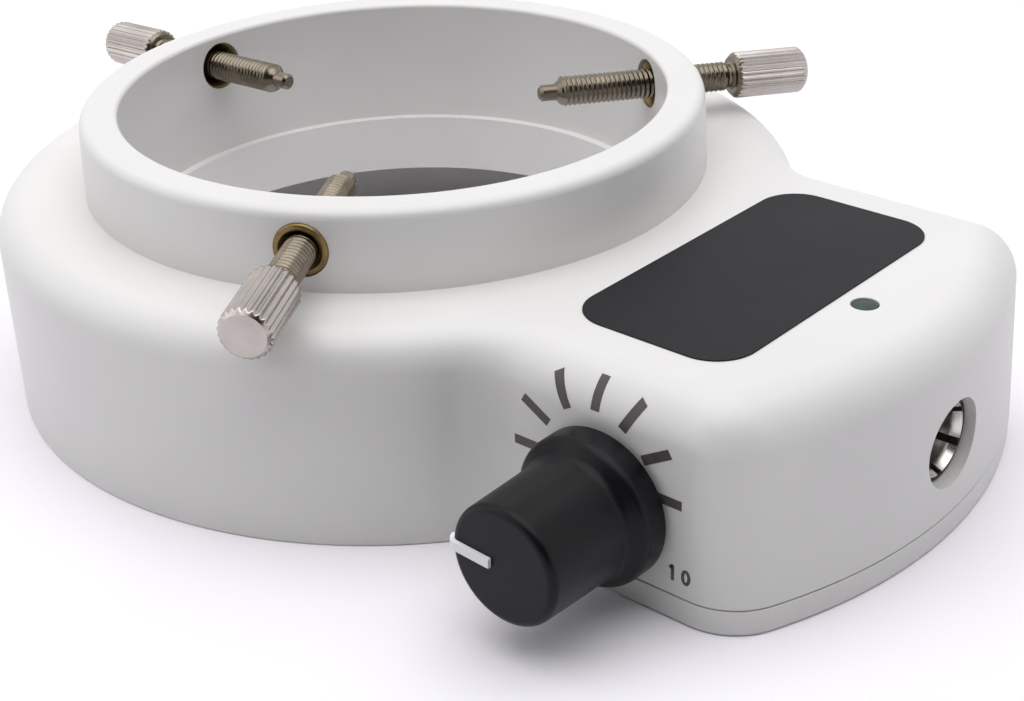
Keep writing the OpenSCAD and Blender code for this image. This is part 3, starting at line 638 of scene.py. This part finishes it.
# Radius at s along the screw and angle a round it. The thread is a groove with flat crest and root that
# climbs one pitch a turn; the knurl is a trapezoid wave round the head, cut back by the bevels.
def screwSurface(tipR, start, out):
    size = screwShape
    dogR, threadR, neckR, headR = (size[key] for key in ("dogR", "threadR", "neckR", "headR"))
    dogBevel, fillet, bevel = size["dogBevel"], size["fillet"], size["bevel"]
    threadStart = size["dogLong"] + size["coneLong"]
    threadEnd = threadStart + size["threadLong"]
    headStart = threadEnd + size["neckLong"]
    length = headStart + size["headLong"]
    corners = [  # place along the screw, radius, and how many rings lead to the next corner
        (0, 0, 2), (0, dogR - dogBevel, 3), (dogBevel, dogR, 6), (size["dogLong"], dogR, 8),
        (threadStart, threadR, 300), (threadEnd, threadR, 6), (threadEnd + size["runOut"], neckR, 10),
        (headStart - fillet, neckR, 4), (headStart, neckR + fillet, 3), (headStart, headR - bevel, 5),
        (headStart + bevel, headR, 16), (length - bevel, headR, 5), (length, headR - bevel, 4),
        (length, 0, 1)]
    runs = [np.linspace(here[:2], there[:2], here[2], endpoint=False)
            for here, there in zip(corners, corners[1:])]
    along, base = np.concatenate(runs + [[corners[-1][:2]]]).T
    s, base, a = along[:, None], base[:, None], anglesOf(size["columns"])[None]
    (inPast, inLong), (outPast, outLong) = size["fadeIn"], size["fadeOut"]
    fade = np.clip((s - threadStart + inPast) / inLong, 0, 1)
    fade = fade * np.clip((threadEnd + outPast - s) / outLong, 0, 1)
    groove = clippedWave(s / size["pitch"] - a / turn, *size["threadWave"])
    threaded = base - size["threadDeep"] * groove * fade
    knurled = headR - size["knurlDeep"] * clippedWave(a * size["knurls"] / turn, *size["knurlWave"])
    radius = np.where(s > headStart, np.minimum(base, knurled), threaded)
    radius = np.maximum(radius, np.minimum(base, dogR))
    axis, around = spokes(out, size["columns"])
    return start + (tipR + s)[..., None] * axis + radius[..., None] * around[None]


for body, out in clampOut.items():
    node = body.replace("screw", "thumb_screw")
    start = clampFrom[body]
    tipR = ((pointsOf(nodes[node]) - start) @ out).min()
    screw = solidFrom(body + "_turned", screwSurface(tipR, start, out))
    marks = screw.data.attributes.new("along", "FLOAT", "POINT")
    marks.data.foreach_set("value", ((pointsOf(screw) - start) @ out - tipR).astype(np.float32))
    dress(screw, nickelPlate, "nickel_plate", body, node, sharpAt=34)
print("thumb screws:", len(clampOut))


# Brass inserts in the collar: rings with a softened rim, a chamfer at the outer mouth of the bore and a deep
# countersink at the inner one
insert = {"boreR": 1.8, "mouthR": 2.3, "mouthDeep": 0.45, "mouthRound": 0.05, "sinkR": 2.7, "sinkDeep": 1.3,
          "sinkRound": 0.08, "round": 0.35, "set": 0.3}
insertPoints = pointsOf(nodes["thread_inserts"])
insertOut = min(((insertPoints - clampFrom[body]) @ out).max() for body, out in clampOut.items())
insertIn = shell["boreR"] + insert["set"]
insertR, sinkRound = shell["insertHole"][0], insert["sinkRound"]
insertLoop = roundedPath([
    (insert["boreR"], insertIn + insert["sinkDeep"], 0), (insert["sinkR"], insertIn, sinkRound),
    (insertR, insertIn, sinkRound), (insertR, insertOut, insert["round"]),
    (insert["mouthR"], insertOut, insert["mouthRound"]),
    (insert["boreR"], insertOut - insert["mouthDeep"], 0)], 4)
loops = [turned(insertLoop, clampFrom[body], out, 64) for body, out in clampOut.items()]
inserts = solidsFrom("insert_rings", np.stack(loops), loop=True)
dress(inserts, turnedBrass, "insert_brass", "housing", "thread_inserts")
print("inserts:", len(loops))


# Knob: skirt with a rounded edge, tapered grip, softly rounded face and a recess over the nut
grip = {
    "skirtR": (knobHigh[0] - knobLow[0]) / 2, "skirtHigh": 2.7, "skirtEdge": 0.2, "skirtRound": 1.2,
    "gripR": 6.3, "gripFrom": 3.9, "faceR": 6.05, "faceRound": 0.8, "fillet": 1.3,
    "recessR": 6.6, "recessDeep": 2.7,
    "pointerFrom": 1.25, "pointerWide": 1.0, "pointerProud": 0.4, "pointerSide": 0.24,
    "pointerEdge": 0.05, "pointerSunk": 0.25,
}
knobLong = knobHigh[1] - knobLow[1]
knobFoot = (knobX, knobHigh[1], knobZ)
face = [(grip["faceR"], knobLong, grip["faceRound"]), (0, knobLong, 0)]
outside = roundedPath([
    (grip["recessR"], 0, 0), (grip["skirtR"], 0, grip["skirtEdge"]),
    (grip["skirtR"], grip["skirtHigh"], grip["skirtRound"]),
    (grip["gripR"], grip["gripFrom"], grip["fillet"]), *face], 8)
recess = [(0, grip["recessDeep"]), (grip["recessR"], grip["recessDeep"])]
knobBody = turnedSolid("knob_grip", np.concatenate([recess, outside]), knobFoot, knobAxis, 128)
dress(knobBody, knobAbs, "knob_black", "knob", "knob", sharpAt=34, even=True)

# Pointer: a flat bar laid along the knob's own profile, over the face and a little way down its edge
pointerMid = pointsOf(nodes["knob_pointer"]).mean(axis=0)
pointAt = np.array([pointerMid[0] - knobX, 0, pointerMid[2] - knobZ])
pointAt /= np.linalg.norm(pointAt)
edgeRun = roundedPath([(grip["gripR"], grip["gripFrom"], 0), *face], 8)[1:-1]
faceRun = np.linspace(edgeRun[-1, 0], grip["pointerFrom"], 6)[1:]
runR = np.concatenate([edgeRun[:, 0], faceRun])
runH = np.concatenate([edgeRun[:, 1], np.full(len(faceRun), knobLong)])
ahead = np.stack([np.gradient(runR), np.gradient(runH)], axis=1)
ahead /= np.linalg.norm(ahead, axis=1, keepdims=True)
half, proud, side = grip["pointerWide"] / 2, grip["pointerProud"], grip["pointerSide"]
edge, sunk = grip["pointerEdge"], grip["pointerSunk"]
section = np.array([(-half, -sunk), (-half, side), (edge - half, proud), (half - edge, proud), (half, side),
                    (half, -sunk)])
barR = runR[:, None] + section[None, :, 1] * ahead[:, 1:]
barH = runH[:, None] - section[None, :, 1] * ahead[:, :1]
bar = (np.array(knobFoot) + barR[..., None] * pointAt + barH[..., None] * np.array(knobAxis)
       + section[None, :, 0, None] * np.cross(pointAt, knobAxis))
pointer = solidFrom("knob_pointer_bar", bar)
dress(pointer, pointerPaint, "pointer_white", "knob", "knob_pointer")
print("knob and pointer")


# Label: a rounded film with a softened edge, left bare
labelShape = {"round": 4.4, "edge": 0.05}
labelLow, labelHigh = boxOf("label_plate")
labelRound = labelShape["round"]
labelPlan = roundedPath([(x, y, labelRound) for x, y in (
    labelLow[:2], (labelHigh[0], labelLow[1]), labelHigh[:2], (labelLow[0], labelHigh[1]))], 16)
labelOut = labelPlan - np.clip(labelPlan, labelLow[:2] + labelRound, labelHigh[:2] - labelRound)
labelOut /= np.linalg.norm(labelOut, axis=1, keepdims=True)
labelFoot = (np.zeros((1, 1)), np.full((1, 1), labelLow[2]))
label = solidFrom("label_film", outlineRings(labelPlan, labelOut, [
    labelFoot, upperRound(labelShape["edge"], labelHigh[2], 4)]))
dress(label, labelFilm, "label_charcoal", "housing", "label_plate", even=True)

# Indicator: a flanged lens with a low dome, just below the deck
lensShape = {"flangeR": 1.8, "lensR": 1.33, "dome": 0.1, "up": 0.12, "roofGap": 0.05}
flangeR, lensR = lensShape["flangeR"], lensShape["lensR"]
flangeTop, domeTop = roofZ - lensShape["roofGap"], lensHigh[2] + lensShape["up"]
domeA = np.linspace(0, quarter, 8)
lens = turnedSolid("indicator_lens", np.concatenate([
    [(0, lensLow[2]), (flangeR, lensLow[2]), (flangeR, flangeTop), (lensR, flangeTop)],
    np.stack([lensR * np.cos(domeA), domeTop - lensShape["dome"] * (1 - np.sin(domeA))], axis=1)]),
    (lensX, 0, 0), columns=40)
dress(lens, indicatorLens, "indicator_green", "housing", "indicator_lamp")
print("label and indicator")


# Dial: seven ticks round the knob and plain numbers, printed on the front wall and over its upper edge
dial = {
    "x": 50.65, "z": 12.9, "innerR": 6.4, "outerR": 9.95, "highest": 22.25, "ticks": 7, "tickWide": 1.0,
    "digitHigh": 1.7, "digitWide": 1.05, "stroke": 0.34, "digitZ": 5.4, "zeroX": 42.6, "tenX": 60.4,
    "apart": 0.75,
    # stem and flag of the one: each end's place sideways, and upwards as a share of the digit's height
    "one": (((0, -0.5), (0, 0.5)), ((-0.35, 0.27), (0.05, 0.46))),
    "thick": 0.03, "sunk": 0.1, "stripSteps": 5,
}


# Depth of the front wall at height z: upright, then the quarter round of the deck's edge
def frontWall(z):
    radius = shell["boxShoulder"]
    up = np.clip(z - (deckZ - radius), 0, radius)
    return -shell["boxHalf"] + radius - np.sqrt(radius ** 2 - up ** 2)


# A printed strip: a path in the wall's own x and z, widened to both sides, as a thin solid on the wall
def printedStrip(path, wide, loop=False):
    ahead = np.roll(path, -1, axis=0) - np.roll(path, 1, axis=0) if loop else np.gradient(path, axis=0)
    ahead /= np.linalg.norm(ahead, axis=1, keepdims=True)
    across = np.stack([-ahead[:, 1], ahead[:, 0]], axis=1)
    place = np.linspace(-0.5, 0.5, dial["stripSteps"]) * wide
    upper = path[:, None] + across[:, None] * place[None, :, None]
    strip = np.concatenate([upper, upper[:, ::-1]], axis=1)
    lift = np.repeat([dial["thick"], -dial["sunk"]], dial["stripSteps"])
    return np.stack([strip[..., 0], frontWall(strip[..., 1]) - lift, strip[..., 1]], axis=-1)


tickA = np.linspace(0, math.pi, dial["ticks"])[:, None]
tickRise = np.maximum(np.sin(tickA), 0.1)  # kept above 0 for the level ticks
topR = np.minimum(dial["outerR"], (dial["highest"] - dial["z"]) / tickRise)
reach = dial["innerR"] + (topR - dial["innerR"]) * np.linspace(0, 1, 16)
tickPaths = np.stack([dial["x"] + reach * np.cos(tickA), dial["z"] + reach * np.sin(tickA)], axis=-1)
ovalA = anglesOf(28)
ovalX = np.cos(ovalA) * (dial["digitWide"] - dial["stroke"]) / 2
ovalZ = dial["digitZ"] + np.sin(ovalA) * (dial["digitHigh"] - dial["stroke"]) / 2
zeroPaths = [np.stack([x + ovalX, ovalZ], axis=1) for x in (dial["zeroX"], dial["tenX"] + dial["apart"])]
oneX = dial["tenX"] - dial["apart"]
onePaths = [np.linspace(*((oneX + aside, dial["digitZ"] + dial["digitHigh"] * up) for aside, up in ends), 8)
            for ends in dial["one"]]
for name, paths, wide, loop in (
        ("dial_ticks", tickPaths, dial["tickWide"], False),
        ("dial_zeros", zeroPaths, dial["stroke"], True),
        ("dial_one", onePaths, dial["stroke"], False)):
    mark = solidsFrom(name, np.stack([printedStrip(path, wide, loop) for path in paths]), loop)
    dress(mark, dialInk, "label_charcoal", "housing")
print("dial marks")


# Rings of a tapping screw, head down. Height of the head's face at radius and angle: a low crown, less the
# recess where a point lies in the cross.
def tapRings(seatZ, topZ):
    angle = anglesOf(tap["columns"])
    faceR = np.linspace(0, headR * tap["faceShare"], 16)
    crown = tap["crown"] * (faceR / headR) ** tap["crownPower"]
    x, y = np.abs(faceR[:, None] * np.cos(angle)), np.abs(faceR[:, None] * np.sin(angle))
    arms = [np.clip((tap["recessLong"] - along) / tap["endSoft"], 0, 1)
            * np.clip((tap["recessWide"] - across) / tap["sideSoft"] + 0.5, 0, 1)
            for along, across in ((x, y), (y, x))]
    deep = tap["recessDeep"] * np.maximum(*arms) * (1 - tap["recessTaper"] * faceR[:, None])
    lowest = seatZ - tap["headHigh"]
    rest = np.array([(headR, seatZ - tap["headHigh"] * tap["sideShare"]), (headR, seatZ), (shankR, seatZ),
                     (shankR, topZ - tap["tipLong"]), (shankR * tap["tipShare"], topZ)])
    radius = np.concatenate([faceR, rest[:, 0]])[:, None] + 0 * angle
    z = np.concatenate([np.maximum(lowest + crown[:, None] + deep, lowest), rest[:, 1:] + 0 * angle])
    return np.stack([radius * np.cos(angle), radius * np.sin(angle), z], axis=-1)


for name, node, places, seatZ in (
        ("cover_screw_set", "cover_screws", coverScrews, coverShape["sinkTop"]),
        ("plate_screw_set", "plate_screws", plateScrews, plateZ)):
    rings = tapRings(seatZ, topOf(node))
    spots = np.column_stack([places, np.zeros(len(places))])
    screws = solidsFrom(name, rings[None] + spots[:, None, None])
    dress(screws, zincPlate, "zinc_screw", "housing", node, sharpAt=38)
print("tapping screws")


# Lamps: a domed clear lens with a rim, and inside it a silvered cup with its phosphor
led = {
    "lensR": 1.5, "rimHigh": 1.0, "columns": 12,
    "cupR": 0.85, "cupHigh": 0.6, "cupBelow": 1.9, "cupHollow": 0.25, "hollowShare": 0.55,
    # each row's places round the ring, first place in degrees, shift in places, and how many places lie from
    # one free place to the next, where 1 is for a full row
    "rows": (("lamps_inner", 42, 0, 0.0, 1), ("lamps_middle", 48, 0, 0.5, 1),
             ("lamps_outer", 57, 60, 0.0, 19)),
}
cupSpots = []
for node, count, firstA, shift, gapEvery in led["rows"]:
    low, high = (corner[2] for corner in boxOf(node))
    rimLow = high - led["rimHigh"]
    index = np.arange(count)
    if gapEvery > 1:
        index = index[index % gapEvery != 0]
    angle = np.radians(firstA + (index + shift) * 360 / count)
    rowR = rowRadius(node)
    spots = np.stack([rowR * np.cos(angle), rowR * np.sin(angle), 0 * angle], axis=1)
    domeA = np.linspace(-quarter, 0, 4)
    profile = np.concatenate([
        np.stack([led["lensR"] * np.cos(domeA), low + led["lensR"] * (1 + np.sin(domeA))], axis=1),
        [(led["lensR"], rimLow), (lampRimR, rimLow), (lampRimR, high), (0, high)]])
    lamps = solidsFrom(node + "_lenses", turned(profile, columns=led["columns"])[None] + spots[:, None, None])
    dress(lamps, clearEpoxy, "clear_epoxy", "housing", node, sharpAt=50)
    cupSpots.append(spots)
cupSpots = np.concatenate(cupSpots)
cupR, cupZ = led["cupR"], topOf("lamps_inner") - led["cupBelow"]
cupTop, hollowZ = cupZ + led["cupHigh"], cupZ + led["cupHollow"]
cup = turned([(0, hollowZ), (cupR * led["hollowShare"], hollowZ), (cupR, cupZ), (cupR, cupTop), (0, cupTop)],
             columns=8)
cups = solidsFrom("lamp_cups", cup[None] + cupSpots[:, None, None])
dress(cups, phosphorCup, "clear_epoxy", "housing")
print("lamps:", len(cupSpots))


# Inlet: a sleeve with six sprung fingers that end in a soft lip, a black ring round it, and a centre pin with
# a round tip
inlet = {"sleeveR": 4.0, "boreR": 3.4, "slotLong": 3.0, "slotWide": 0.9, "fingers": 6, "fingerRoot": 0.2,
         "lip": 0.1, "flare": 0.4, "flareLong": 0.9, "flareRound": 1.5,
         "noseGap": 0.03, "noseR": 4.45, "noseBack": 0.15, "pinRound": 0.45}
inletAt = (0, inletY, inletZ)
sleeveR, contactR, noseR = inlet["sleeveR"], inlet["boreR"], inlet["noseR"]
back, front = sleeveLow[0], sleeveHigh[0]
slotAt = front - inlet["slotLong"]
rootAt = slotAt - inlet["fingerRoot"]
fingerLoop = roundedPath([
    (contactR, rootAt, 0), (sleeveR, rootAt, 0), (sleeveR, front, inlet["lip"]),
    (contactR + inlet["flare"], front, 0), (contactR, front - inlet["flareLong"], inlet["flareRound"])], 5)
step = turn / inlet["fingers"]
spread = np.linspace(-0.5, 0.5, 14) * (step - inlet["slotWide"] / sleeveR)
fingerA = spread[None] + (np.arange(inlet["fingers"]) * step)[:, None]
fingers = np.stack([
    np.broadcast_to(fingerLoop[:, 1], (*fingerA.shape, len(fingerLoop))),
    inletY + np.cos(fingerA)[..., None] * fingerLoop[:, 0],
    inletZ + np.sin(fingerA)[..., None] * fingerLoop[:, 0]], axis=-1)
tubeLoop = [(contactR, back), (sleeveR, back), (sleeveR, slotAt), (contactR, slotAt)]
sleeve = turnedSolid("inlet_tube", tubeLoop, inletAt, inletAxis, 72, loop=True)
combine(sleeve, [solidsFrom("inlet_fingers", fingers)], "UNION")
dress(sleeve, contactPlate, "contact_plate", "housing", "inlet_sleeve", sharpAt=36)
noseIn, noseFrom, noseTo = sleeveR + inlet["noseGap"], boxOf("inlet_body")[1][0], front - inlet["noseBack"]
noseLoop = [(noseIn, noseFrom), (noseR, noseFrom), (noseR, noseTo), (noseIn, noseTo)]
nose = turnedSolid("inlet_nose", noseLoop, inletAt, inletAxis, 72, loop=True)
dress(nose, inletPlastic, "inlet_black", "housing", sharpAt=36)
pinLow, pinHigh = boxOf("inlet_pin")
pinR = (pinHigh[1] - pinLow[1]) / 2
pinProfile = roundedPath([
    (0, pinLow[0], 0), (pinR, pinLow[0], 0), (pinR, pinHigh[0], inlet["pinRound"]), (0, pinHigh[0], 0)])
pin = turnedSolid("inlet_centre_pin", pinProfile, inletAt, inletAxis, 40)
dress(pin, contactPlate, "contact_plate", "housing", "inlet_pin", sharpAt=36)
print("inlet")


# Solids that keep their own shape take a finish each
for finish, names in (
        (plateAbs, ("lamp_plate",)),
        (boardLaminate, ("lamp_board", "control_board", "indicator_board")),
        (zincPlate, ("board_screws",)),
        (chipResin, ("driver_chip",)),
        (ferrite, ("inductor",)),
        (capacitorSleeve, ("capacitor",)),
        (redCover, ("supply_wire_red",)),
        (blackCover, ("supply_wire_black",)),
        (controlResin, ("control_body",)),
        (controlMetal, ("control_bushing", "control_washer", "control_nut", "control_shaft")),
        (inletPlastic, ("inlet_body",))):
    for name in names:
        nodes[name].data.materials.clear()
        nodes[name].data.materials.append(finish)
print("solids finished")


# Direction from the part to a place round it, from degrees: azimuth 0 is the front, 90 the box's end
def toward(azimuth, elevation):
    az, el = math.radians(azimuth), math.radians(elevation)
    return np.array([math.sin(az) * math.cos(el), -math.cos(az) * math.cos(el), math.sin(el)])


# Camera: direction round the part, tilt and roll, then distance from its target
view = {"azimuth": 42.1, "elevation": 27.92, "roll": -2.13, "distance": 177.48,
        "target": (37.83, -23.39, 20.0), "lens": 64.80, "sensor": 36.0, "clip": (0.005, 20.0)}
az, roll = math.radians(view["azimuth"]), math.radians(view["roll"])
backward = Vector(toward(view["azimuth"], view["elevation"]))
level = Vector((math.cos(az), math.sin(az), 0))
upward = backward.cross(level)
right = level * math.cos(roll) + upward * math.sin(roll)
upward = upward * math.cos(roll) - level * math.sin(roll)
spot = (Vector(view["target"]) + backward * view["distance"]) * mm
camera = bpy.data.objects.new("camera", bpy.data.cameras.new("camera"))
camera.data.lens, camera.data.sensor_width = view["lens"], view["sensor"]
camera.data.sensor_fit = "HORIZONTAL"
camera.data.clip_start, camera.data.clip_end = view["clip"]
camera.matrix_world = Matrix((
    (right.x, upward.x, backward.x, spot.x), (right.y, upward.y, backward.y, spot.y),
    (right.z, upward.z, backward.z, spot.z), (0, 0, 0, 1)))
bpy.context.scene.collection.objects.link(camera)
bpy.context.scene.camera = camera

# Stage: a paper floor, a black card behind the camera that it doesn't see, and the sky; sizes in metres
studio = {
    "paper": "#fdfbff", "bounce": "#e2e1e4", "rough": 0.9, "floorWide": 6.0,
    "card": "#0b0b0c", "cardAt": (42, 30), "cardAway": 0.75, "cardSize": (1.3, 0.75),
    "skyTint": "#fbfaff", "skyLow": 0.0, "skyHigh": 1.03, "skyFrom": 0.15, "skyTo": 0.75,
}


# A flat card as a stage piece: centre, size and the point that it faces, in metres
def card(name, centre, size, faces, material):
    axis, side, lift = sidesOf(np.array(faces) - np.array(centre))
    corners = [np.array(centre) + side * size[0] / 2 * u + lift * size[1] / 2 * v
               for u, v in ((-1, -1), (1, -1), (1, 1), (-1, 1))]
    mesh = bpy.data.meshes.new(name)
    mesh.from_pydata([tuple(corner) for corner in corners], [], [(0, 1, 2, 3)])
    mesh.materials.append(material)
    piece = bpy.data.objects.new(name, mesh)
    bpy.context.scene.collection.objects.link(piece)
    return piece


# A dull stage material, and its shader's inputs
def stageFinish(name):
    material = bpy.data.materials.new(name)
    material.use_nodes = True
    inputs = material.node_tree.nodes["Principled BSDF"].inputs
    inputs["Roughness"].default_value = studio["rough"]
    return material, inputs


# Floor: white paper to the camera and in reflections, and a pale grey to light that bounces off the part
paper, inputs = stageFinish("white_paper_floor")
tree = paper.node_tree
rays = addNode(tree, "ShaderNodeLightPath").outputs
colour = addNode(tree, "ShaderNodeMix", {
    0: rays["Is Diffuse Ray"], 6: linear(studio["paper"]), 7: linear(studio["bounce"])}, data_type="RGBA")
tree.links.new(colour.outputs[2], inputs["Base Color"])
inputs["Specular IOR Level"].default_value = 0.0
card("paper_floor", (0, 0, 0), (studio["floorWide"],) * 2, zAxis, paper)
black, inputs = stageFinish("black_card")
inputs["Base Color"].default_value = linear(studio["card"])
target = np.array(view["target"]) * mm
cardCentre = target + toward(*studio["cardAt"]) * studio["cardAway"]
frontCard = card("front_card", cardCentre, studio["cardSize"], target, black)
frontCard.visible_camera = False

# Soft light: one wide lamp overhead and a weaker one to the camera's left, with azimuth, elevation, distance,
# size and power
for name, azimuth, elevation, distance, size, power in (
        ("top_light", 42, 84, 0.9, (1.1, 1.1), 5.0),
        ("left_light", -52, 28, 1.0, (0.8, 0.7), 1.1)):
    aim = Vector(toward(azimuth, elevation))
    light = bpy.data.lights.new(name, "AREA")
    light.shape, light.size, light.size_y, light.energy = "RECTANGLE", size[0], size[1], power
    lamp = bpy.data.objects.new(name, light)
    turnTo = aim.to_track_quat("Z", "Y").to_matrix().to_4x4()
    lamp.matrix_world = Matrix.Translation(Vector(target) + aim * distance) @ turnTo
    bpy.context.scene.collection.objects.link(lamp)

# World: white to the camera, reflections and clear plastic, and as light a sky that grows brighter upwards
world = bpy.data.worlds.new("studio")
world.use_nodes = True
bpy.context.scene.world = world
tree = world.node_tree
sky = tree.nodes["Background"]
sky.inputs["Color"].default_value = linear(studio["skyTint"])
where = addNode(tree, "ShaderNodeTexCoord").outputs["Generated"]
height = addNode(tree, "ShaderNodeSeparateXYZ", {"Vector": where}).outputs["Z"]
climb = addNode(tree, "ShaderNodeMapRange", {
    "Value": height, "From Min": studio["skyFrom"], "From Max": studio["skyTo"],
    "To Min": studio["skyLow"], "To Max": studio["skyHigh"]}, interpolation_type="SMOOTHSTEP")
tree.links.new(climb.outputs["Result"], sky.inputs["Strength"])
seen = addNode(tree, "ShaderNodeBackground", {"Color": (1, 1, 1, 1), "Strength": 1.0})
rays = addNode(tree, "ShaderNodeLightPath").outputs
white = rays["Is Camera Ray"]
for ray in ("Is Glossy Ray", "Is Transmission Ray"):
    white = addNode(tree, "ShaderNodeMath", {0: white, 1: rays[ray]}, operation="MAXIMUM").outputs[0]
mixed = addNode(tree, "ShaderNodeMixShader", {0: white, 1: sky.outputs[0], 2: seen.outputs[0]})
tree.links.new(mixed.outputs[0], tree.nodes["World Output"].inputs["Surface"])
bpy.context.scene.view_settings.view_transform = "Standard"
print("stage, lights and camera set")
